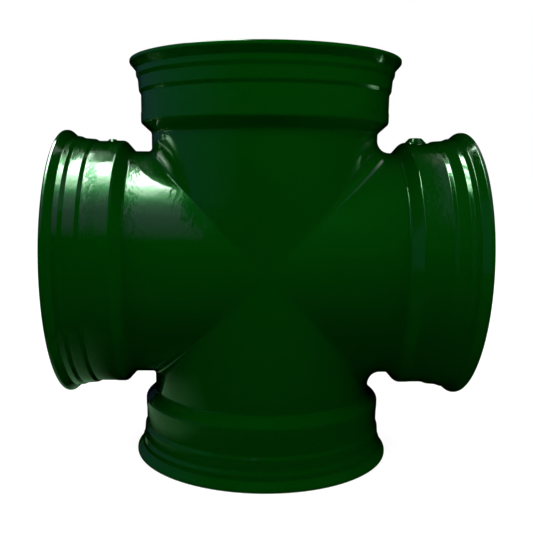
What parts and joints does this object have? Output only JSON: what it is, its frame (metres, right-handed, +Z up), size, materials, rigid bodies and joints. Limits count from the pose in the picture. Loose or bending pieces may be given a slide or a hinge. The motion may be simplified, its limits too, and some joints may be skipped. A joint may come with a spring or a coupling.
{
  "type": "pipe cross",
  "caption": "Equal pipe cross in glossy dark green plastic: a plain tube crossing with a stepped, flared ring-seal socket at each end, for joining drain pipes at right angles.",
  "frame": {"origin": "where the axis of the run crosses the axis of the arms", "axes": "+Z up along the run, out of the upper mouth; +X along the arms, out of the right mouth; +Y away from the viewer"},
  "size_m": [0.192, 0.1286, 0.192],
  "materials": {
    "body": "glossy dark bottle green",
    "seal": "matt black rubber"
  },
  "bodies": {
    "root": {"cross_body": "body", "seal_top": "seal", "seal_bottom": "seal", "seal_left": "seal", "seal_right": "seal"}
  },
  "joints": []
}
